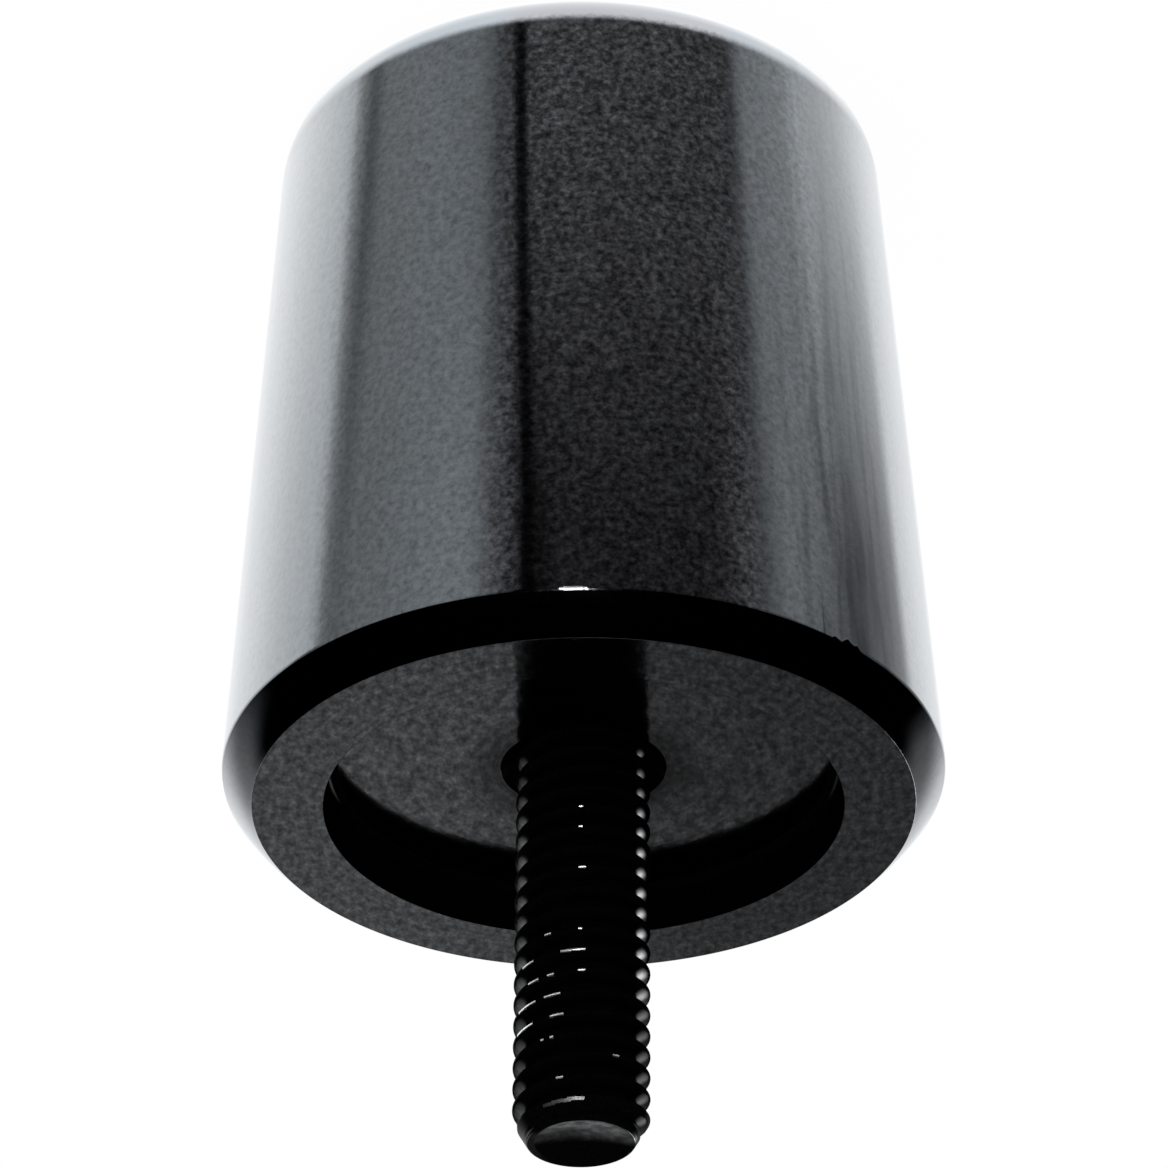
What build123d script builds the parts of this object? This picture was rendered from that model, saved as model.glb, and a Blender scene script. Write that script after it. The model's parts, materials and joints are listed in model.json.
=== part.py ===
from build123d import *
import math
import os

# Handlebar end weight: a tapered steel slug that stands on its flat outer end, with a threaded
# stud in the recessed inboard end. All sizes are in millimetres, and Z runs along the axis.

# Weight body, turned from bar and wider at the inboard end, where it meets the handlebar.
body_length = 35.0
inboard_diameter = 32.0  # where the taper reaches the plane of the inboard face
outer_end_diameter = 27.7  # where the taper reaches the plane of the outer end
outer_edge_radius = 2.0
inboard_chamfer_width = 1.45  # across the inboard face
inboard_chamfer_depth = 1.6  # along the tapered side

# Recess in the inboard end, which locates the weight on the end of the handlebar tube.
bar_diameter = 22.2
bar_clearance = 0.3  # on the radius
recess_depth = 2.15
recess_corner_radius = 0.3

# Threaded stud, drawn plain at its outside diameter where it is free.
thread_diameter = 6.0
thread_pitch = 1.0
stud_projection = 16.2  # past the plane of the inboard face
stud_engagement = 11.65  # below the floor of the recess
inner_end_chamfer = 0.5
tip_chamfer_width = 0.65
tip_chamfer_depth = 1.2
tip_land = 0.15  # flat rim left around the dish
tip_dish_depth = 0.3

# Tapped blind hole for the stud, countersunk at its mouth.
thread_clearance = 0.02  # on the radius
hole_run_out = 1.5  # below the stud's inner end
drill_point_angle = 118.0
countersink_diameter = 7.3
countersink_angle = 90.0

# Where the two threads meet they are drawn at the pitch diameter of an ISO metric thread.
thread_flank_share = 0.6495
engaged_diameter = thread_diameter - thread_flank_share * thread_pitch

inboard_radius = inboard_diameter / 2
outer_end_radius = outer_end_diameter / 2
recess_radius = bar_diameter / 2 + bar_clearance
recess_floor = body_length - recess_depth

thread_radius = thread_diameter / 2
engaged_radius = engaged_diameter / 2
stud_inner_end = recess_floor - stud_engagement
stud_tip = body_length + stud_projection
tip_radius = thread_radius - tip_chamfer_width
dish_rim_radius = tip_radius - tip_land
dish_ball_radius = (dish_rim_radius**2 + tip_dish_depth**2) / (2 * tip_dish_depth)

hole_radius = engaged_radius + thread_clearance
hole_bottom = stud_inner_end - hole_run_out
drill_point_depth = hole_radius / math.tan(math.radians(drill_point_angle / 2))
countersink_radius = countersink_diameter / 2
countersink_depth = (countersink_radius - hole_radius) / math.tan(math.radians(countersink_angle / 2))

with BuildPart() as weight_body:
    # The slug: half of its section, spun about the axis. The outer end has a full rounded edge,
    # and the inboard end a wide chamfer.
    with BuildSketch(Plane.XZ) as section:
        with BuildLine():
            Polyline(
                (0, 0),
                (outer_end_radius, 0),
                (inboard_radius, body_length),
                (0, body_length),
                close=True,
            )
        make_face()
        fillet(section.vertices().sort_by(Axis.Y)[:2].sort_by(Axis.X)[-1], outer_edge_radius)
        inboard_line = section.edges().sort_by(Axis.Y)[-1]
        chamfer(
            inboard_line.vertices().sort_by(Axis.X)[-1],
            inboard_chamfer_width,
            inboard_chamfer_depth,
            reference=inboard_line,
        )
    revolve(axis=Axis.Z)

    # The recess, with a tool radius round its floor.
    with BuildSketch(Plane.XY.offset(body_length)):
        Circle(recess_radius)
    extrude(amount=-recess_depth, mode=Mode.SUBTRACT)
    floor_face = weight_body.faces().filter_by(Plane.XY).sort_by(Axis.Z)[-2]
    fillet(floor_face.edges(), recess_corner_radius)

    # The tapped hole, with its countersunk mouth and the cone that the drill left.
    with BuildSketch(Plane.XZ):
        with BuildLine():
            Polyline(
                (0, hole_bottom - drill_point_depth),
                (hole_radius, hole_bottom),
                (hole_radius, recess_floor - countersink_depth),
                (countersink_radius, recess_floor),
                (0, recess_floor),
                close=True,
            )
        make_face()
    revolve(axis=Axis.Z, mode=Mode.SUBTRACT)

with BuildPart() as threaded_stud:
    # The engaged end is at the pitch diameter, the free end at the outside of the thread.
    with BuildSketch(Plane.XZ):
        with BuildLine():
            Polyline(
                (0, stud_inner_end),
                (engaged_radius - inner_end_chamfer, stud_inner_end),
                (engaged_radius, stud_inner_end + inner_end_chamfer),
                (engaged_radius, recess_floor),
                (thread_radius, recess_floor),
                (thread_radius, stud_tip - tip_chamfer_depth),
                (tip_radius, stud_tip),
                (0, stud_tip),
                close=True,
            )
        make_face()
    revolve(axis=Axis.Z)

    # Rolling the thread leaves the end of the tip slightly dished.
    with Locations((0, 0, stud_tip - tip_dish_depth + dish_ball_radius)):
        Sphere(dish_ball_radius, mode=Mode.SUBTRACT)

weight_body.part.label = "weight_body"
threaded_stud.part.label = "threaded_stud"

os.makedirs("parts", exist_ok=True)
for piece in (weight_body, threaded_stud):
    export_step(piece.part, f"parts/{piece.part.label}.step")
    print(piece.part.label, f"{piece.part.volume:.1f} mm3")
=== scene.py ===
# %% [markdown]
# # A gloss black bar end weight
#
# A bar end weight is a heavy turned slug that screws into the end of a handlebar and calms its
# shaking. This one stands on its plain outer end, with the threaded stud up. The CAD model is
# loaded first as a fixed frame, so that every piece made here goes where the solids are. The places
# that the frame knows are read from it, and are never typed again.

# %% Load the frame
import json
import math

import bmesh
import bpy
from mathutils import Matrix, Vector


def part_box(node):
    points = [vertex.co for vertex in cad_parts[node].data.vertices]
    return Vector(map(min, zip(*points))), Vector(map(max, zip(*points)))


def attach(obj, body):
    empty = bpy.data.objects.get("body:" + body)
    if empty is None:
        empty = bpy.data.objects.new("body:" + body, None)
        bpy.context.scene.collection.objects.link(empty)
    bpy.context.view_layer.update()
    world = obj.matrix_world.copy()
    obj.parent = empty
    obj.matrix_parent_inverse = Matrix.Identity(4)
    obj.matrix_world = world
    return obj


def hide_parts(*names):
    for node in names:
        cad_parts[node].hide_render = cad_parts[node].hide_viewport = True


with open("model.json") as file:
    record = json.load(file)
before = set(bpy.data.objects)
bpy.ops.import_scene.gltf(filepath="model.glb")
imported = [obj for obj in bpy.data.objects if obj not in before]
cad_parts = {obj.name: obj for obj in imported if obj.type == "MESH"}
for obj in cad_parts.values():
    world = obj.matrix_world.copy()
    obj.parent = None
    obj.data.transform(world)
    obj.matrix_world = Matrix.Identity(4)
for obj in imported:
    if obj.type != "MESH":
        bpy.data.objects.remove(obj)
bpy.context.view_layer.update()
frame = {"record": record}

MM = 0.001
scene = bpy.context.scene
mounts = {mount["name"]: mount for mount in frame["record"]["mounts"]}
body_low, body_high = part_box("weight_body")
stud_low, stud_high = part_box("threaded_stud")
inboard_plane = mounts["inboard_face"]["pos_m"][2]
recess_floor = mounts["tube_seat"]["pos_m"][2]
stud_tip = stud_high.z
print("body", [round(side / MM, 2) for side in body_high - body_low], "mm")
print("stud tip", round(stud_tip / MM, 2), "mm above the outer end")

# %% [markdown]
# ## The camera
#
# The photograph was taken with a long lens, a little above the inboard end, and it hangs the weight
# with its stud down. The weight stands stud up here, so the camera is rolled by half a turn. Rolling
# the camera is better than turning the object, because the frame has to stay where it is. With
# the ZYX order the roll about the lens axis comes first and the tilt second.

# %% Place the camera
camera_height = 156.43 * MM
camera_distance = 213.6 * MM
camera_side = -0.09 * MM
looking_down = math.radians(31.93)
lens_roll = math.radians(179.653)

camera_data = bpy.data.cameras.new("photo_camera")
camera_data.sensor_width = 36.0
camera_data.lens = 172.5
camera_data.clip_start = 0.01
camera_data.clip_end = 20.0
camera = bpy.data.objects.new("photo_camera", camera_data)
camera.rotation_mode = "ZYX"
camera.rotation_euler = (math.pi / 2 - looking_down, 0.0, lens_roll)
camera.location = (camera_side, -camera_distance, camera_height)
scene.collection.objects.link(camera)
scene.camera = camera
scene.view_settings.view_transform = "Standard"
print("camera", round(camera.location.length / MM), "mm from the weight, lens", camera_data.lens)

# %% [markdown]
# ## Nodes in few words
#
# The room and every finish below are built from nodes. One small helper adds a node, sets it, and
# links it, so that a line of code reads like one node in the editor. A value that is itself a socket
# becomes a link. The other helpers are the nodes that come most often.

# %% Helpers that add one node


def add(tree, kind, values=None, **settings):
    """Adds a node, sets its options and fills or links its inputs."""
    made = tree.nodes.new(kind)
    for name, value in settings.items():
        setattr(made, name, value)
    for name, value in (values or {}).items():
        if isinstance(value, bpy.types.NodeSocket):
            tree.links.new(value, made.inputs[name])
        else:
            made.inputs[name].default_value = value
    return made


def maths(tree, operation, first, second=0.0):
    """One Math node, as its output."""
    return add(tree, "ShaderNodeMath", {0: first, 1: second}, operation=operation).outputs[0]


def spread(tree, value, from_low, from_high, to_low, to_high, kind="SMOOTHSTEP"):
    """One Map Range node, as its output."""
    values = {"Value": value, "From Min": from_low, "From Max": from_high}
    values.update({"To Min": to_low, "To Max": to_high})
    return add(tree, "ShaderNodeMapRange", values, interpolation_type=kind).outputs["Result"]


def blend(tree, share, low, high):
    """One Mix node for plain values, as its output."""
    values = {"Factor": share, "A": low, "B": high}
    return add(tree, "ShaderNodeMix", values, data_type="FLOAT").outputs[0]


def blend_colours(tree, share, low, high):
    """One Mix node for colours, whose sockets lie behind those for values and vectors."""
    return add(tree, "ShaderNodeMix", {0: share, 6: low, 7: high}, data_type="RGBA").outputs[2]


print("node helpers ready")

# %% [markdown]
# Two more helpers stand for short chains of those nodes. A mask that is full over a stretch and fades
# at both its ends comes back for cards, stripes and stains, and masks are put together by multiplying
# them.

# %% Helpers that add a chain of nodes


def product(tree, *factors):
    """Math nodes that multiply all the factors, as their output."""
    total = factors[0]
    for factor in factors[1:]:
        total = maths(tree, "MULTIPLY", total, factor)
    return total


def band(tree, value, start, full, fade, end, level=1.0):
    """A mask that rises from start to full, and falls again from fade to end."""
    rise = spread(tree, value, start, full, 0.0, level)
    fall = spread(tree, value, fade, end, 1.0, 0.0)
    return product(tree, rise, fall)


print("mask helpers ready")

# %% [markdown]
# ## The studio round the weight
#
# Gloss black has hardly any colour of its own: what one sees is the room. The photograph was taken in
# a white tent, with a dark gap where the camera stood. The room could be modelled with cards and
# panels, but a world shader is quieter and has no edges that other views would show. Rings of soft
# cards lie one above the other: two below the horizon, one on it and one above it. A ring is one
# colour ramp round the compass. Black mirrors little, so the narrow cards are brighter than paper.

# %% Rings of cards
# Each stop is a compass angle in degrees, zero at the camera, with the brightness there.
ring_white = 9.0
lower_ring = (
    (-180, 0.95), (-165, 1.08), (-150, 1.45), (-135, 1.95), (-118, 2.55), (-105, 2.8), (-100, 2.5),
    (-97.5, 1.6), (-94.5, 1.1), (-90, 0.55), (-87.5, 0.55), (-82, 1.12), (-62, 1.45), (-42, 1.35),
    (-36, 1.05), (-32, 0.6), (-27, 0.5), (-15, 0.55), (45, 0.43), (61.5, 0.36), (67.5, 1.42),
    (85, 1.6), (95, 2.3), (104, 2.0), (130, 1.85), (145, 1.5), (160, 1.12), (180, 0.95),
)
upper_ring = (
    (-180, 0.95), (-165, 1.08), (-150, 1.4), (-132, 2.0), (-103, 2.6), (-99, 2.2), (-95, 1.05),
    (-89.5, 0.82), (-83, 1.1), (-65, 1.4), (-50, 1.75), (-38, 1.75), (-34, 1.2), (-26, 0.5),
    (-22, 0.28), (-17, 0.04), (-13, 0.04), (-8, 0.12), (45, 0.13), (51, 0.26), (57, 0.5),
    (63, 0.6), (73, 1.4), (83, 1.15), (102, 0.35), (107, 0.5), (128, 0.82), (134, 1.8),
    (147, 1.45), (160, 1.08), (180, 0.95),
)
horizon_ring = (
    (-180, 0.5), (-160, 0.62), (-145, 0.62), (-134, 0.52), (-124, 0.36), (-118, 0.18), (-108, 0.0),
    (121, 0.0), (126, 0.12), (132, 0.4), (145, 0.5), (160, 0.6), (180, 0.5),
)
sky_ring = (
    (-180, 0.26), (-178.6, 0.42), (-166, 0.42), (-160, 0.5), (-156, 2.4), (-150, 2.4), (-144, 0.0),
    (141, 0.0), (147, 9.0), (156, 9.0), (162, 0.2), (178.6, 0.18), (180, 0.26),
)


def card_ring(tree, turn, stops):
    """A colour ramp round the compass, as a brightness."""
    ramp = add(tree, "ShaderNodeValToRGB", {"Fac": turn})
    elements = ramp.color_ramp.elements
    for index, (angle, level) in enumerate(stops):
        place = (angle + 180.0) / 360.0
        stop = elements[index] if index < 2 else elements.new(place)
        stop.position = place
        stop.color = (level / ring_white,) * 3 + (1.0,)
    return maths(tree, "MULTIPLY", ramp.outputs["Color"], ring_white)


rings = (lower_ring, upper_ring, horizon_ring, sky_ring)
print("rings of cards with", [len(ring) for ring in rings], "stops")

# %% [markdown]
# A world shader knows only the direction of a ray. Its two level parts give a compass angle round the
# weight, zero at the camera, and its upright part a height, from -1 straight down to 1 straight up.

# %% Directions in the room
world = bpy.data.worlds.new("white_tent")
scene.world = world
world.use_nodes = True
room = world.node_tree
room.nodes.clear()
direction = add(room, "ShaderNodeTexCoord").outputs["Generated"]
axes = add(room, "ShaderNodeSeparateXYZ", {0: direction})
away_x = maths(room, "MULTIPLY", axes.outputs["X"], -1.0)
toward = maths(room, "MULTIPLY", axes.outputs["Y"], -1.0)
height = axes.outputs["Z"]
compass = maths(room, "ARCTAN2", away_x, toward)
turn = spread(room, compass, -math.pi, math.pi, 0.0, 1.0, "LINEAR")
print("directions in the room", len(room.nodes), "nodes")

# %% [markdown]
# The rings are blended into one another from the ground up. The ground is brighter in front of the
# weight than behind it, and its border and that of the upper ring tilt a little, as the edges of
# propped cards do. Between two cards is a thin dark gap, which leans to one side. It draws the fine
# black line along the body.

# %% Stack the ground and the rings
# Borders are ranges of height, from -1 to 1. A tilt raises or lowers one towards the camera.
ground_tilt = 0.1
ground_border = (-0.78, -0.66)
ground_reach = (-0.76, 0.40)
ground_glow = (1.05, 6.6)
card_tilt = 0.05
upper_border = (-0.655, -0.60)
horizon_border = (-0.22, 0.06)
sky_border = (0.12, 0.28)
gap_heights = (-0.664, -0.603)
gap_angles = (math.radians(-23.6), math.radians(-18.2))
gap_edge = (math.radians(1.2), math.radians(3.8))

ground_level = maths(room, "ADD", height, product(room, toward, ground_tilt))
card_level = maths(room, "ADD", height, product(room, toward, card_tilt))
gap_place = spread(room, card_level, *gap_heights, *gap_angles, "LINEAR")
off_gap = maths(room, "ABSOLUTE", maths(room, "SUBTRACT", compass, gap_place))
no_gap = spread(room, off_gap, *gap_edge, 0.0, 1.0)
ground = spread(room, toward, *ground_reach, *ground_glow, "LINEAR")
lower_cards = product(room, card_ring(room, turn, lower_ring), no_gap)
upper_cards = product(room, card_ring(room, turn, upper_ring), no_gap)
horizon_cards = card_ring(room, turn, horizon_ring)
sky_cards = card_ring(room, turn, sky_ring)
tent = blend(room, spread(room, ground_level, *ground_border, 0.0, 1.0), ground, lower_cards)
tent = blend(room, spread(room, card_level, *upper_border, 0.0, 1.0, "LINEAR"), tent, upper_cards)
tent = blend(room, spread(room, height, *horizon_border, 0.0, 1.0), tent, horizon_cards)
tent = blend(room, spread(room, height, *sky_border, 0.0, 1.0), tent, sky_cards)
print("ground and rings", len(room.nodes), "nodes")

# %% [markdown]
# One more card stands high behind the weight and lights the left side of the stud. Above the cards the
# tent is dark, up to a roof that lets some light in, so that the faces show when they are seen from
# above. The cards are slightly cool, as daylight is. The camera itself sees plain white, because the
# photograph has a white background.

# %% A high card, the roof and the white background
card_sides = [math.radians(angle) for angle in (-152.0, -148.0, -142.0, -136.0)]
card_edge = (0.32, 0.40)
card_glow = 2.4
cards_end = (0.54, 0.66)
roof_edge = (0.94, 0.985)
roof_glow = 0.9
cool_light = (0.98, 1.0, 1.02, 1.0)
plain_white = (1.0, 1.0, 1.0, 1.0)

card_rise = spread(room, height, *card_edge, 0.0, card_glow)
high_card = product(room, band(room, compass, *card_sides), card_rise)
tent = maths(room, "ADD", tent, high_card)
tent = product(room, tent, spread(room, height, *cards_end, 1.0, 0.0))
tent = maths(room, "ADD", tent, spread(room, height, *roof_edge, 0.0, roof_glow))
seen = add(room, "ShaderNodeLightPath").outputs["Is Camera Ray"]
light = blend_colours(room, seen, cool_light, plain_white)
strength = blend(room, seen, tent, 1.0)
glow = add(room, "ShaderNodeBackground", {"Color": light, "Strength": strength})
add(room, "ShaderNodeOutputWorld", {"Surface": glow.outputs[0]})
print("world", world.name, len(room.nodes), "nodes")

# %% [markdown]
# ## The floor
#
# The floor is a pale sheet that looks white to the camera and still takes the shadow of the weight.
# Mixing a white glow with a plain diffuse white does both. It is hidden from glossy rays, so that the
# lacquer mirrors the tent instead.

# %% Lay the floor
floor_half = 3.0
glow_share = 0.985
floor_white = (0.9, 0.9, 0.9, 1.0)

floor_corners = [(x * floor_half, y * floor_half, 0.0) for x, y in ((-1, -1), (1, -1), (1, 1), (-1, 1))]
floor_mesh = bpy.data.meshes.new("floor")
floor_mesh.from_pydata(floor_corners, [], [(0, 1, 2, 3)])
floor = bpy.data.objects.new("floor", floor_mesh)
scene.collection.objects.link(floor)
floor.visible_glossy = False

floor_finish = bpy.data.materials.new("pale_floor")
floor_finish.use_nodes = True
sheet = floor_finish.node_tree
sheet.nodes.clear()
matt = add(sheet, "ShaderNodeBsdfDiffuse", {"Color": floor_white})
bright = add(sheet, "ShaderNodeEmission", {"Color": plain_white, "Strength": 1.0})
to_camera = add(sheet, "ShaderNodeLightPath").outputs["Is Camera Ray"]
share = product(sheet, to_camera, glow_share)
mixed = add(sheet, "ShaderNodeMixShader", {0: share, 1: matt.outputs[0], 2: bright.outputs[0]})
add(sheet, "ShaderNodeOutputMaterial", {"Surface": mixed.outputs[0]})
floor_mesh.materials.append(floor_finish)
print("floor", 2 * floor_half, "m wide")

# %% [markdown]
# ## The lamps
#
# A wide lamp overhead gives the shadow its soft edge. A small lamp beside the camera makes the sparks
# on the rim and on the crests of the thread. The wide one is hidden from glossy rays too, or the flat
# faces would mirror its square.

# %% Hang the lamps
overhead_place = (0.1, -0.1, 0.8)
overhead_side = 0.7
overhead_power = 8.0
spark_place = (0.011, -0.31, 0.1)
spark_width = 0.04
spark_height = 0.16
spark_power = 0.45
rim_front = (0.0, -body_high.y, inboard_plane)


def hang_lamp(name, place, aim, width, height, power):
    """A flat lamp that looks at a point."""
    data = bpy.data.lights.new(name, "AREA")
    data.shape = "RECTANGLE"
    data.size = width
    data.size_y = height
    data.energy = power
    lamp = bpy.data.objects.new(name, data)
    lamp.location = place
    lamp.rotation_euler = (Vector(aim) - Vector(place)).to_track_quat("-Z", "Y").to_euler()
    scene.collection.objects.link(lamp)
    return lamp


overhead_lamp = hang_lamp(
    "overhead_lamp", overhead_place, (0.0, 0.0, 0.0), overhead_side, overhead_side, overhead_power
)
overhead_lamp.visible_glossy = False
spark_lamp = hang_lamp("spark_lamp", spark_place, rim_front, spark_width, spark_height, spark_power)
print("lamps", overhead_lamp.name, spark_lamp.name)

# %% [markdown]
# ## An outline with rounded corners
#
# Both pieces were turned on a lathe, so one half of a section says everything about their shape. A
# section can be drawn as a few corners, each with its own radius, and arcs put in between. The helper
# also returns the direction that the surface faces at each point. Blender would average those
# directions from the faces and smear the reflections at the small edges; kept exact, they stay crisp.
# The finish of a stretch is given with the corner where it starts.

# %% Round the corners of a section


def rounded_section(corners, steps=6):
    """Points along a section, each its radius, height, facing radius, facing height and finish."""
    points = []
    for index, (radius, height, rounding, finish) in enumerate(corners):
        here = Vector((radius, height))
        before = (here - Vector(corners[index - 1][:2])).normalized() if index else None
        last = index == len(corners) - 1
        after = None if last else (Vector(corners[index + 1][:2]) - here).normalized()
        if rounding == 0.0:
            run = after or before
            points.append((here.x, here.y, run.y, -run.x, finish))
            continue
        turn_angle = math.atan2(before.x * after.y - before.y * after.x, before.dot(after))
        side = 1.0 if turn_angle > 0 else -1.0
        reach = rounding * math.tan(abs(turn_angle) / 2)
        facing = Vector((before.y, -before.x))
        centre = here - before * reach - facing * rounding * side
        for step in range(steps + 1):
            normal = Matrix.Rotation(turn_angle * step / steps, 2) @ facing
            spot = centre + normal * rounding * side
            points.append((spot.x, spot.y, normal.x, normal.y, finish))
    return points


square = [(0, 0, 0, 0), (1, 0, 0.2, 0), (1, 1, 0, 0)]
print("a square corner of 1 mm gives", len(rounded_section(square)), "points")

# %% [markdown]
# Spinning the section about the axis makes the piece. A screw modifier could do that, but worn edges,
# a thread and small marks change with the angle. So the helper asks one function where each point
# goes, and another which finish each face has. Angles are read from the front, the side that faces
# the camera, and are positive towards -X.

# %% Spin a section


def from_front(angle):
    """Degrees round the axis from the front."""
    return math.degrees(math.atan2(-math.cos(angle), -math.sin(angle)))


def spin(name, section, segments, spot_of, finish_of, exact):
    """A closed turned piece, from a section with a point on the axis at both ends."""
    mesh = bpy.data.meshes.new(name)
    work = bmesh.new()
    facings = []
    rings = []
    for radius, height, face_radius, face_height, finish in section:
        count = 1 if radius < 1e-9 else segments
        ring = []
        for index in range(count):
            angle = 2 * math.pi * index / segments
            ring.append(work.verts.new(spot_of(radius, height, angle)))
            outward = face_radius if count > 1 else 0.0
            facing = Vector((outward * math.cos(angle), outward * math.sin(angle), face_height))
            facings.append(facing.normalized())
        rings.append((ring, height, finish))
    for (low, height, finish), (high, _, _) in zip(rings, rings[1:]):
        for index in range(segments):
            corners = [low[index % len(low)], low[(index + 1) % len(low)]]
            corners += [high[(index + 1) % len(high)], high[index % len(high)]]
            face = work.faces.new(list(dict.fromkeys(corners)))
            face.smooth = True
            face.material_index = finish_of(finish, height, 2 * math.pi * (index + 0.5) / segments)
    work.to_mesh(mesh)
    work.free()
    if exact:
        mesh.normals_split_custom_set_from_vertices(facings)
    piece = bpy.data.objects.new(name, mesh)
    scene.collection.objects.link(piece)
    return piece


print("the front is at", round(from_front(-math.pi / 2)), "degrees, -X at", round(from_front(math.pi)))

# %% [markdown]
# ## The weight body
#
# The real body is a steel slug with a slight taper, a full round at the outer end, a wide chamfer and
# a shallow recess that sits on the end of the tube. Its few driving sizes are the same as in the CAD
# model. The edges that the solid leaves sharp get the tiny radius that the polish leaves on them,
# which is what catches the light, and the chamfer, which was polished by hand, is slightly crowned.
# The body has three finishes: gloss on the side, faint turning marks on the flat faces, and a dull
# black inside the recess and the hole that is painted shade. One short stretch of the rim gets bright
# steel, a painted highlight where the rim glints.

# %% The section of the body
outer_end_radius = 13.85 * MM
outer_edge_height = 1.94 * MM  # where the round of the outer end starts on the side
outer_edge_radius = 1.93 * MM
outer_edge_draft = math.radians(11.7)
crease_rounding = 5.0 * MM
taper_radius = 16.0 * MM  # where the taper would reach the inboard plane
chamfer_width = 1.45 * MM
chamfer_depth = 1.6 * MM
chamfer_crown = 0.1 * MM
crown_radius = 8.5 * MM
rim_rounding = 0.3 * MM
fine_rounding = 0.03 * MM
recess_radius = 11.4 * MM
recess_corner = 0.3 * MM
countersink_radius = 3.65 * MM
hole_radius = 2.695 * MM
hole_end_gap = 1.5 * MM
hole_bottom = stud_low.z - hole_end_gap
drill_half_angle = math.radians(59.0)
drill_point = hole_radius / math.tan(drill_half_angle)
# DULL is painted shade inside the recess and the hole; part of RIM gets a painted highlight.
GLOSS, TURNED, DULL, RIM = range(4)

taper = Vector((taper_radius - outer_end_radius, inboard_plane)).normalized()
rim = Vector((taper_radius, inboard_plane)) - taper * chamfer_depth
face_edge = Vector((taper_radius - chamfer_width, inboard_plane))
chamfer_run = (face_edge - rim).normalized()
crown = (rim + face_edge) / 2 + Vector((chamfer_run.y, -chamfer_run.x)) * chamfer_crown
edge_break = Vector((outer_end_radius, 0.0)) + taper * (outer_edge_height / taper.y)
end_radius = edge_break.x - outer_edge_height * math.tan(outer_edge_draft)
body_corners = [
    (0.0, 0.0, 0.0, TURNED),
    (end_radius, 0.0, outer_edge_radius, GLOSS),
    (edge_break.x, edge_break.y, crease_rounding, GLOSS),
    (rim.x, rim.y, rim_rounding, RIM),
    (crown.x, crown.y, crown_radius, GLOSS),
    (face_edge.x, face_edge.y, fine_rounding, TURNED),
    (recess_radius, inboard_plane, fine_rounding, DULL),
    (recess_radius, recess_floor, recess_corner, DULL),
    (recess_radius - 2 * recess_corner, recess_floor, 0.0, TURNED),
    (countersink_radius, recess_floor, fine_rounding, DULL),
    (hole_radius, recess_floor - countersink_radius + hole_radius, fine_rounding, DULL),
    (hole_radius, hole_bottom, fine_rounding, DULL),
    (0.0, hole_bottom - drill_point, 0.0, DULL),
]
body_section = rounded_section(body_corners)
print("body section", len(body_section), "points, rim at", round(rim.y / MM, 2), "mm")

# %% [markdown]
# The rim has been knocked once or twice. Each nick lowers the edge over a degree or two, so that the
# black of the chamfer bites into the bright side. A sculpted dent would need a finer mesh; moving the
# few points of the rim is enough here.

# %% Spin the body
body_segments = 512
# Each nick is its place and half its width in degrees from the front, with its depth in mm.
rim_nicks = ((42.3, 0.8, 0.12), (45.0, 1.1, 0.3), (47.0, 0.9, 0.22))
nick_reach = 0.6 * MM
glint_middle = -1.4  # the painted highlight on the rim, in degrees from the front
glint_half = 2.4
glint_depth = 0.1 * MM


def body_spot(radius, height, angle):
    """A point of the body, with the nicks in its rim."""
    if radius > face_edge.x and abs(height - rim.y) < nick_reach:
        bearing = from_front(angle)
        losses = [depth * max(0.0, 1 - ((bearing - place) / half) ** 2) for place, half, depth in rim_nicks]
        height -= sum(losses) * MM * (1 - abs(height - rim.y) / nick_reach)
    return (radius * math.cos(angle), radius * math.sin(angle), height)


def body_finish(finish, height, angle):
    """The rim is gloss, apart from a painted highlight of bright steel that tapers to both ends."""
    if finish != RIM:
        return finish
    along = abs(from_front(angle) - glint_middle) / glint_half
    below = abs(height - rim.y + glint_depth / 2) / glint_depth
    return RIM if along**2 + below < 1.0 else GLOSS


body = spin("turned_body", body_section, body_segments, body_spot, body_finish, exact=True)
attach(body, "root")
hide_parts("weight_body")
print("turned body", len(body.data.polygons), "faces")

# %% [markdown]
# ## The grain in the lacquer
#
# Close up, the black isn't a perfect mirror: it has a blotchy grain of about a quarter of a
# millimetre, which breaks up every reflection. Two layers of noise make it, a fine one and a broader
# one like orange peel. It is a node group, because every finish here has that grain, coarser or finer,
# and drawn out more or less in the direction of the last polish. It puts out a height for the bump,
# and patches that brighten and darken the colour. Their mean is about one; a power of the noise sets
# their contrast.

# %% A node group for grain
peel_size = 4.0  # times the size of the fine grain

grain = bpy.data.node_groups.new("Lacquer grain", "ShaderNodeTree")
for socket in ("Grain size", "Peel share", "Draw", "Contrast"):
    grain.interface.new_socket(socket, in_out="INPUT", socket_type="NodeSocketFloat")
for socket in ("Height", "Patches"):
    grain.interface.new_socket(socket, in_out="OUTPUT", socket_type="NodeSocketFloat")
given = add(grain, "NodeGroupInput").outputs
squeeze = maths(grain, "DIVIDE", 1.0, given["Draw"])
drawn = add(grain, "ShaderNodeCombineXYZ", {"X": 1.0, "Y": squeeze, "Z": 1.0}).outputs[0]
place = add(grain, "ShaderNodeTexCoord").outputs["Object"]
place = add(grain, "ShaderNodeVectorMath", {0: place, 1: drawn}, operation="MULTIPLY").outputs[0]
fine_scale = maths(grain, "DIVIDE", 1.0, given["Grain size"])
fine_values = {"Vector": place, "Scale": fine_scale, "Detail": 3.0, "Roughness": 0.65}
fine = add(grain, "ShaderNodeTexNoise", fine_values).outputs["Fac"]
broad_scale = maths(grain, "DIVIDE", fine_scale, peel_size)
broad_values = {"Vector": place, "Scale": broad_scale, "Detail": 1.0}
broad = add(grain, "ShaderNodeTexNoise", broad_values).outputs["Fac"]
relief = maths(grain, "ADD", fine, product(grain, broad, given["Peel share"]))
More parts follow.
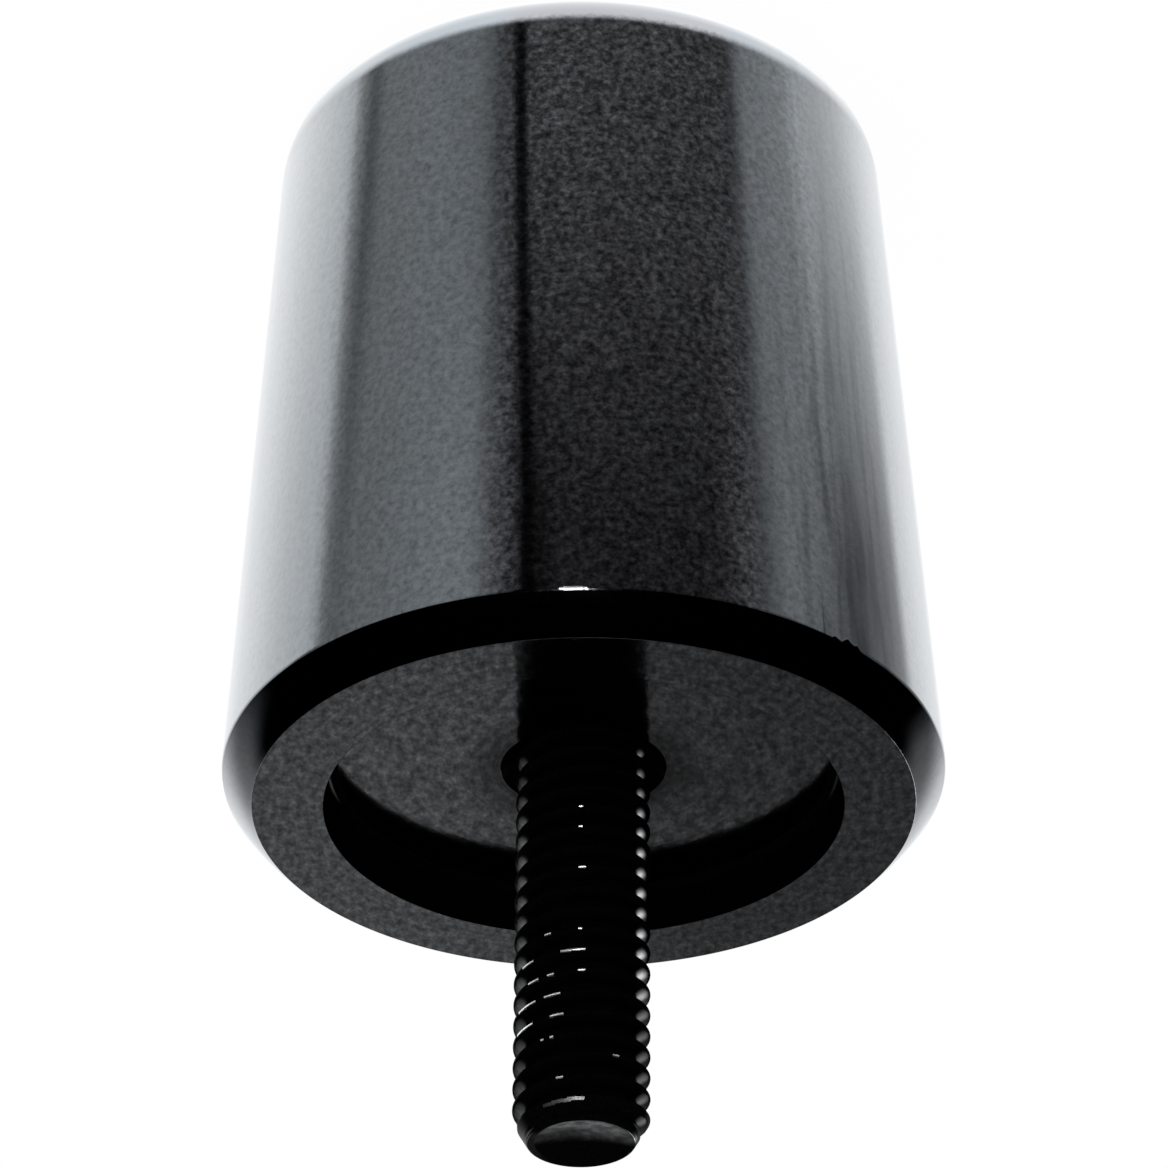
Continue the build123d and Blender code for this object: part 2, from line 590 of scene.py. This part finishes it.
patches = maths(grain, "POWER", product(grain, fine, 2.0), given["Contrast"])
add(grain, "NodeGroupOutput", {"Height": relief, "Patches": patches})
print("group", grain.name, [item.name for item in grain.interface.items_tree])

# %% [markdown]
# A second group turns a place on a turned piece into what a turner would say: how far it lies from the
# axis, how far round from the front, and how high. With it a mark can be put where it was seen,
# without painting a texture.

# %% A node group for turned places
turned_place = bpy.data.node_groups.new("Turned place", "ShaderNodeTree")
for socket in ("From axis", "Round", "Up"):
    turned_place.interface.new_socket(socket, in_out="OUTPUT", socket_type="NodeSocketFloat")
place = add(turned_place, "ShaderNodeTexCoord").outputs["Object"]
spot = add(turned_place, "ShaderNodeSeparateXYZ", {0: place}).outputs
level_spot = add(turned_place, "ShaderNodeCombineXYZ", {"X": spot["X"], "Y": spot["Y"]}).outputs[0]
reach = add(turned_place, "ShaderNodeVectorMath", {0: level_spot}, operation="LENGTH")
side_way = maths(turned_place, "MULTIPLY", spot["X"], -1.0)
front_way = maths(turned_place, "MULTIPLY", spot["Y"], -1.0)
bearing = maths(turned_place, "ARCTAN2", side_way, front_way)
bearing = product(turned_place, bearing, math.degrees(1.0))
turned_values = {"From axis": reach.outputs["Value"], "Round": bearing, "Up": spot["Z"]}
add(turned_place, "NodeGroupOutput", turned_values)
print("group", turned_place.name, [item.name for item in turned_place.interface.items_tree])

# %% [markdown]
# Every finish starts and ends alike: an empty material with the turned place in it, the grain with its
# own values, and a Principled shader over a bump. The shader itself stays in the material, where
# it can be read by other programs, and only what changes over the surface comes from the groups.

# %% Start and close a finish


def new_finish(name):
    """An empty material with the turned place in it."""
    finish = bpy.data.materials.new(name)
    finish.use_nodes = True
    tree = finish.node_tree
    tree.nodes.clear()
    return finish, tree, add(tree, "ShaderNodeGroup", node_tree=turned_place).outputs


def grained(tree, size, peel_share, contrast, draw=1.0):
    """The grain with its own values, as its outputs."""
    values = {"Grain size": size, "Peel share": peel_share, "Contrast": contrast, "Draw": draw}
    return add(tree, "ShaderNodeGroup", values, node_tree=grain).outputs


def tinted(tree, colour, amount):
    """A colour made lighter or darker, as an output."""
    return add(tree, "ShaderNodeVectorMath", {0: colour, "Scale": amount}, operation="SCALE").outputs[0]


def close_finish(tree, relief, values, depth):
    """A Principled shader over a bump of that depth, linked to the material's output."""
    bump = add(tree, "ShaderNodeBump", {"Strength": 1.0, "Distance": depth, "Height": relief})
    shader = add(tree, "ShaderNodeBsdfPrincipled", {**values, "Normal": bump.outputs["Normal"]})
    add(tree, "ShaderNodeOutputMaterial", {"Surface": shader.outputs[0]})


print("finish helpers ready")

# %% [markdown]
# ## Gloss black on the side and the chamfer
#
# The finish is black lacquer over dark steel. A Principled shader with a clear coat gives it two
# reflections, as the real one has: a clean one from the top of the lacquer, and one from the metal
# below. The grain makes both stronger and weaker. It is strongest in a stripe along the front, faint
# on both sides of it, and gone on the round of the outer end. The strong grain in the front stripe is
# painted light: it copies how the grain shows where the lacquer mirrors the dark gap at the camera.

# %% Grain along the front
# The stronger grain in this stripe is painted light, for the dark reflection along the front.
stripe_sides = (-17.0, -10.0, 25.0, 31.0)  # degrees from the front
stripe_contrast = 2.8
fading_out = (42.0, 50.0)  # degrees to either side
side_contrast = (0.75, 0.3)
above_round = (1.6 * MM, 2.6 * MM)

gloss_black, lacquer, at = new_finish("gloss_black")
stripe = band(lacquer, at["Round"], *stripe_sides)
to_the_side = maths(lacquer, "ABSOLUTE", at["Round"])
contrast = spread(lacquer, to_the_side, *fading_out, *side_contrast)
contrast = blend(lacquer, stripe, contrast, stripe_contrast)
contrast = product(lacquer, contrast, spread(lacquer, at["Up"], *above_round, 0.0, 1.0))
speckle = grained(lacquer, size=0.3 * MM, peel_share=0.6, contrast=contrast)
print("grain of", gloss_black.name, len(lacquer.nodes), "nodes")

# %% [markdown]
# On one flank lengthwise dark streaks and one thin dark line lower the gloss. Noise that is drawn out
# along the body gives the streaks; it is laid out in degrees and height, so that they follow the taper.
# The dark line is a narrow band at one angle, near the rim.

# %% Streaks and a dark line
streak_width = 2.4  # degrees round the axis
streak_length = 8.0 * MM
streak_cut = (0.42, 0.70)
streak_loss = 0.5
flank_sides = (28.0, 44.0, 55.0, 59.0)  # degrees from the front
flank_rise = (6.0 * MM, 26.0 * MM)
flank_low_share = 0.2
dark_line_place = 39.9  # degrees from the front
dark_line_edge = (0.08, 0.3)
dark_line_loss = 0.7
dark_line_rise = (30.6 * MM, 33.3 * MM)

across = maths(lacquer, "DIVIDE", at["Round"], streak_width)
along = maths(lacquer, "DIVIDE", at["Up"], streak_length)
streak_spot = add(lacquer, "ShaderNodeCombineXYZ", {"X": across, "Y": along}).outputs[0]
streaks = add(lacquer, "ShaderNodeTexNoise", {"Vector": streak_spot, "Scale": 1.0, "Detail": 2.0})
streaks = spread(lacquer, streaks.outputs["Fac"], *streak_cut, 0.0, streak_loss)
flank = band(lacquer, at["Round"], *flank_sides)
flank = product(lacquer, flank, spread(lacquer, at["Up"], *flank_rise, flank_low_share, 1.0))
off_dark_line = maths(lacquer, "ABSOLUTE", maths(lacquer, "SUBTRACT", at["Round"], dark_line_place))
dark_line = spread(lacquer, off_dark_line, *dark_line_edge, dark_line_loss, 0.0)
dark_line = product(lacquer, dark_line, spread(lacquer, at["Up"], *dark_line_rise, 0.0, 1.0))
streaked = maths(lacquer, "MAXIMUM", product(lacquer, streaks, flank), dark_line)
print("wear on the gloss", len(lacquer.nodes), "nodes")

# %% [markdown]
# Now the two layers are put together. The metal below is a very dark steel, cool on the sides and
# plainer in the stripe; that change of tint is painted light, copied from the cool cards mirrored on
# the sides. Metal turns white at a grazing angle, so the black brightens towards the edges of the
# weight, as it does on the real one. The coat is thinner where the grain or the streaks darken it.

# %% The gloss black finish
# Two tints of one steel, painted light: cool where the sides mirror the cool cards, plain in the front
# stripe.
steel_tint_under_cool_light = (0.044, 0.051, 0.0565, 1.0)
steel_tint_in_front_stripe = (0.047, 0.0465, 0.051, 1.0)
coat_share = 0.62

steel_below = blend_colours(lacquer, stripe, steel_tint_under_cool_light, steel_tint_in_front_stripe)
lit_share = product(lacquer, speckle["Patches"], maths(lacquer, "SUBTRACT", 1.0, streaked))
gloss_values = {
    "Base Color": tinted(lacquer, steel_below, lit_share),
    "Metallic": 1.0,
    "Roughness": 0.1,
    "Coat Weight": product(lacquer, lit_share, coat_share),
    "Coat Roughness": 0.03,
    "Coat IOR": 1.5,
}
close_finish(lacquer, speckle["Height"], gloss_values, depth=0.002 * MM)
print("finish", gloss_black.name, len(lacquer.nodes), "nodes")

# %% [markdown]
# ## The turned faces
#
# The flat ring, the floor of the recess and the outer end were faced on the lathe, and the lacquer on
# them is thin, with a coarser grain. They keep faint circles from the tool: a one-dimensional noise
# along the radius draws the circles, and the patches of grain break them into arcs. Round the hole the
# floor is darker: painted shade round the foot of the stud, which hides the room from that floor.

# %% The finish of the turned faces
circle_width = 0.3 * MM
circle_relief = 0.7
circle_cut = (0.35, 0.65)
circle_light = (0.86, 1.12)
# Painted shade: the floor darkens towards the foot of the stud.
stud_foot_shade_reach = (countersink_radius, countersink_radius + 2.4 * MM)
stud_foot_shade_level = 0.3
faced_steel = (0.074, 0.075, 0.079)
thin_coat = 0.25

turned_black, faced, at = new_finish("turned_black")
speckle = grained(faced, size=0.34 * MM, peel_share=0.8, contrast=2.3, draw=1.8)
circle_values = {"W": at["From axis"], "Scale": 1.0 / circle_width, "Detail": 2.0}
circles = add(faced, "ShaderNodeTexNoise", circle_values, noise_dimensions="1D").outputs["Fac"]
relief = maths(faced, "ADD", speckle["Height"], product(faced, circles, circle_relief))
circles_shown = spread(faced, circles, *circle_cut, *circle_light, "LINEAR")
off_hole = spread(faced, at["From axis"], *stud_foot_shade_reach, stud_foot_shade_level, 1.0)
patches = product(faced, speckle["Patches"], circles_shown, off_hole)
turned_values = {
    "Base Color": tinted(faced, faced_steel, patches),
    "Metallic": 1.0,
    "Roughness": 0.11,
    "Coat Weight": product(faced, patches, thin_coat),
    "Coat Roughness": 0.06,
    "Coat IOR": 1.5,
}
close_finish(faced, relief, turned_values, depth=0.003 * MM)
print("finish", turned_black.name, len(faced.nodes), "nodes")

# %% [markdown]
# ## Dull black inside
#
# The wall of the recess, the countersink and the tapped hole are black without gloss: painted shade
# inside the recess and round the foot of the stud. Only in the small round at the foot of the wall did
# the tool leave a faint shine, which shows as a short sliver on each side. It is a weak coat behind a
# mask, because a gloss on the whole wall would mirror the floor.

# %% The dull finish
# The black without gloss is painted shade inside the recess and round the foot of the stud.
deep_black = (0.0005, 0.0005, 0.0005)
patch_range = (0.4, 1.6)
dull_roughness = (0.45, 0.7)
shine_sides = (91.0, 95.0, 96.0, 106.0)  # degrees to either side
shine_share = 0.1
foot_of_wall = (recess_radius - recess_corner, recess_radius - 0.02 * MM)

dull_black, inside, at = new_finish("dull_black")
speckle = grained(inside, size=0.2 * MM, peel_share=0.5, contrast=1.5)
to_the_side = maths(inside, "ABSOLUTE", at["Round"])
shine = band(inside, to_the_side, *shine_sides, shine_share)
shine = product(inside, shine, spread(inside, at["From axis"], *foot_of_wall, 1.0, 0.0))
dull_values = {
    "Base Color": tinted(inside, deep_black, speckle["Patches"]),
    "Roughness": spread(inside, speckle["Patches"], *patch_range, *dull_roughness, "LINEAR"),
    "Specular IOR Level": 0.0,
    "Coat Weight": shine,
    "Coat Roughness": 0.15,
    "Coat IOR": 1.5,
}
close_finish(inside, speckle["Height"], dull_values, depth=0.006 * MM)
print("finish", dull_black.name, len(inside.nodes), "nodes")

# %% [markdown]
# ## Bare steel and painted glints
#
# Bright steel is put on a short stretch of the rim, where it is a painted highlight, and in spots and
# strokes along the crests of the thread, where it is partly wear and partly painted highlight. Those
# places are faces of their own in the meshes, so a plain grey metal is enough and its edges stay sharp.

# %% The bare steel with its painted glints, and the body's finishes
steel_grey = (0.5, 0.5, 0.5)

bare_steel, worn_and_glinting, _ = new_finish("bare_steel")
speckle = grained(worn_and_glinting, size=0.1 * MM, peel_share=0.5, contrast=1.0)
steel_values = {
    "Base Color": tinted(worn_and_glinting, steel_grey, speckle["Patches"]),
    "Metallic": 1.0,
    "Roughness": 0.35,
}
close_finish(worn_and_glinting, speckle["Height"], steel_values, depth=0.003 * MM)
for finish in (gloss_black, turned_black, dull_black, bare_steel):
    body.data.materials.append(finish)
print("body finishes", [finish.name for finish in body.data.materials])

# %% [markdown]
# ## The threaded stud
#
# The stud is a piece of M6 threaded rod. Its thread was rolled, so the crests are round and stay a
# little under the full size. The stud is spun like the body, with a radius that depends on the height
# and the angle: the phase of the thread at that point picks the place on a 60 degree profile. The
# smaller of the thread and the chamfered outline is the stud.

# %% The thread's profile
pitch = 1.0 * MM
crest_phase = 0.65  # share of a turn by which the thread starts late
crest_radius = 2.945 * MM
crest_half_width = pitch / 14
root_radius = 2.36 * MM
flank_slope = math.tan(math.radians(60.0))
crest_softness = 0.035 * MM
root_softness = 0.05 * MM


def turns_at(height, angle):
    """Turns of the right-hand thread up to a point, a whole number on the crest."""
    return height / pitch - angle / (2 * math.pi) - crest_phase


def larger(first, second, softness):
    """The larger of two lengths with a soft change, or the smaller one for a negative softness."""
    return softness * math.log(math.exp(first / softness) + math.exp(second / softness))


def thread_radius(height, angle):
    """Radius of the thread at a height and an angle."""
    turns = turns_at(height, angle)
    from_crest = abs(turns - round(turns)) * pitch
    flank = crest_radius + (crest_half_width - from_crest) * flank_slope
    return larger(larger(flank, crest_radius, -crest_softness), root_radius, root_softness)


quarters = [(crest_phase + quarter / 4) * pitch for quarter in range(3)]
print("thread radius", [round(thread_radius(height, 0.0) / MM, 3) for height in quarters], "mm")

# %% [markdown]
# The stud's outline runs from its inner end, which is hidden in the body at the pitch diameter, up to
# the chamfered tip. Rolling leaves the end of a stud slightly dished, right up to its rim. The dish is
# a piece of a large ball, so its height is a formula and not a list of points.

# %% The outline of the stud
engaged_radius = 2.675 * MM
inner_chamfer = 0.5 * MM
thread_start = recess_floor - 0.7 * MM
thread_run_in = 0.3 * MM
tip_radius = 2.3 * MM
tip_chamfer = 1.2 * MM
tip_rounding = 0.1 * MM
dish_depth = 0.3 * MM
dish_rings = 12
rows_per_pitch = 24

row_step = pitch / rows_per_pitch
chamfer_start = stud_tip - tip_chamfer
dish_radius = tip_radius - tip_rounding
ball_radius = (dish_radius**2 + dish_depth**2) / (2 * dish_depth)
dish_reaches = [dish_radius * (1 - ring / dish_rings) for ring in range(1, dish_rings)]


def dish_height(reach):
    """Height of the dished end at a distance from the axis."""
    return stud_tip - dish_depth + ball_radius - math.sqrt(ball_radius**2 - reach**2)


outline = [(0.0, stud_low.z), (engaged_radius - inner_chamfer, stud_low.z)]
outline.append((engaged_radius, stud_low.z + inner_chamfer))
outline.append((engaged_radius, thread_start - thread_run_in))
row = thread_start
while row < chamfer_start:
    outline.append((stud_high.x, row))
    row += row_step
tip_corners = [
    (stud_high.x, chamfer_start, 0.0, 0),
    (tip_radius, stud_tip, tip_rounding, 0),
    (dish_reaches[0], dish_height(dish_reaches[0]), 0.0, 0),
]
tip_edge = [point[:2] for point in rounded_section(tip_corners)][1:-1]
while row < tip_edge[0][1]:
    share_up = (row - chamfer_start) / tip_chamfer
    outline.append((stud_high.x + (tip_radius - stud_high.x) * share_up, row))
    row += row_step
outline += tip_edge
outline += [(reach, dish_height(reach)) for reach in dish_reaches]
outline.append((0.0, dish_height(0.0)))
print("stud outline", len(outline), "points")

# %% [markdown]
# Once it stands free of the body the stud leans very slightly to one side. Its crests are bright in
# places, mostly near the tip: partly scuffs from being started in a tube many times, and partly painted
# highlight where the thread glints. A scuff is a run of faces on a crest that gets the bare steel.

# %% Spin the stud
stud_lean = math.tan(math.radians(0.6))
stud_segments = 120
scuff_glint_below = 0.05 * MM
scuff_glint_above = 0.08 * MM
scuff_glint_search = 0.4 * pitch
OXIDE, SCUFF_AND_GLINT = range(2)
# The scuffs are partly wear and partly painted highlight, where the thread glints.
# Each scuff is the height of its crest in mm, and its two ends in degrees from the front.
crest_scuffs_and_glints = (
    (36.4, -3, 0), (37.4, -3, 0), (39.4, -3, 3), (42.4, -3, 0), (42.5, -33, -27), (43.4, -18, 3),
    (43.5, -60, -45), (44.4, -3, 3), (44.5, -30, -24), (44.5, -51, -39), (45.5, -33, -18),
    (45.6, -66, -42), (46.5, -27, -15), (46.6, -69, -45), (47.5, -36, -33), (47.5, -27, -24),
    (48.3, 27, 33), (49.4, -21, -15), (50.4, -36, 3),
)


def stud_spot(radius, height, angle):
    """A point of the stud, on its thread and its lean."""
    aside = 0.0
    if height >= thread_start:
        radius = min(radius, thread_radius(height, angle))
        aside = (height - thread_start) * stud_lean
    return (radius * math.cos(angle) + aside, radius * math.sin(angle), height)


def stud_finish(finish, height, angle):
    """Black, apart from the bright scuffs and painted glints on the crests."""
    turns = turns_at(height + row_step / 2, angle)
    past_crest = (turns - round(turns)) * pitch
    bearing = from_front(angle)
    if -scuff_glint_below < past_crest < scuff_glint_above and height > thread_start:
        for crest, first, last in crest_scuffs_and_glints:
            if first < bearing < last and abs(height - crest * MM) < scuff_glint_search:
                return SCUFF_AND_GLINT
    return finish


stud_section = [(radius, height, 0.0, 0.0, OXIDE) for radius, height in outline]
stud = spin("rolled_stud", stud_section, stud_segments, stud_spot, stud_finish, exact=False)
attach(stud, "root")
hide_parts("threaded_stud")
print("rolled stud", len(stud.data.polygons), "faces")

# %% [markdown]
# ## Black oxide on the stud
#
# The stud is blacker than the body, and what shines on it is oil. It lies deep in the thread on the
# left and the right, while the crests are rubbed dry and the front has been wiped. The whole of it is
# one coat whose strength is a mask: the distance from the axis tells crests from roots.

# %% Oil in the thread
oil_full = 2.42 * MM  # the oil is full up to this distance from the axis
oil_ends = (2.74 * MM, 2.95 * MM)  # and gone at this one, low and high on the stud
oil_climb = (42.0 * MM, 46.0 * MM)
left_to_right = (-60.0, 60.0)  # degrees from the front
left_extra = 0.35 * MM
left_sides = (-74.0, -58.0)
left_share = 0.8
right_sides = (63.0, 80.0)
right_share = 0.85
thins_out = (43.0 * MM, 46.0 * MM)
left_thinned = 0.5
right_thinned = 0.18
near_body = (33.5 * MM, 37.0 * MM)
near_body_share = 0.35

stud_black, oxide, at = new_finish("oiled_black_oxide")
oiled_to = spread(oxide, at["Up"], *oil_climb, *oil_ends)
oiled_to = maths(oxide, "ADD", oiled_to, spread(oxide, at["Round"], *left_to_right, left_extra, 0.0))
left_oil = spread(oxide, at["Round"], *left_sides, left_share, 0.0)
left_oil = product(oxide, left_oil, spread(oxide, at["Up"], *thins_out, 1.0, left_thinned))
right_oil = spread(oxide, at["Round"], *right_sides, 0.0, right_share)
right_oil = product(oxide, right_oil, spread(oxide, at["Up"], *thins_out, 1.0, right_thinned))
thread_coat = product(
    oxide,
    spread(oxide, at["From axis"], oil_full, oiled_to, 1.0, 0.0),
    maths(oxide, "ADD", left_oil, right_oil),
    spread(oxide, at["Up"], *near_body, near_body_share, 1.0),
)
print("oil in the thread", len(oxide.nodes), "nodes")

# %% [markdown]
# Oil also lies in one half of the dished tip, in blotches, which come from noise. The dish is told
# from the thread by its height and its distance from the axis, and the two coats are blended there.

# %% The stud's finish
oxide_black = (0.0008, 0.0008, 0.0009)
blotch_size = 0.5 * MM
blotch_cut = (0.36, 0.64)
blotch_share = (0.6, 1.2)
uneven_share = (0.7, 1.0)
dry_half = (-0.6 * MM, 0.45 * MM)
dish_floor = (stud_tip - 1.15 * dish_depth, stud_tip - 1.05 * dish_depth)
dish_rim = (dish_radius - 0.05 * MM, dish_radius + 0.02 * MM)

spot = add(oxide, "ShaderNodeTexCoord").outputs["Object"]
across = add(oxide, "ShaderNodeSeparateXYZ", {0: spot}).outputs["Y"]
blotch_values = {"Vector": spot, "Scale": 1.0 / blotch_size, "Detail": 2.0}
blotches = add(oxide, "ShaderNodeTexNoise", blotch_values).outputs["Fac"]
dish_coat = spread(oxide, blotches, *blotch_cut, *blotch_share)
dish_coat = product(oxide, dish_coat, spread(oxide, across, *dry_half, 1.0, 0.0))
in_dish = spread(oxide, at["Up"], *dish_floor, 0.0, 1.0)
in_dish = product(oxide, in_dish, spread(oxide, at["From axis"], *dish_rim, 1.0, 0.0))
coat = blend(oxide, in_dish, thread_coat, dish_coat)
speckle = grained(oxide, size=0.14 * MM, peel_share=0.8, contrast=1.5)
uneven = spread(oxide, speckle["Patches"], *patch_range, *uneven_share, "LINEAR")
oxide_values = {
    "Base Color": tinted(oxide, oxide_black, speckle["Patches"]),
    "Roughness": 0.3,
    "Specular IOR Level": 0.0,
    "Coat Weight": product(oxide, coat, uneven),
    "Coat Roughness": 0.1,
    "Coat IOR": 1.5,
}
close_finish(oxide, speckle["Height"], oxide_values, depth=0.002 * MM)
for finish in (stud_black, bare_steel):
    stud.data.materials.append(finish)
print("finish", stud_black.name, len(oxide.nodes), "nodes")
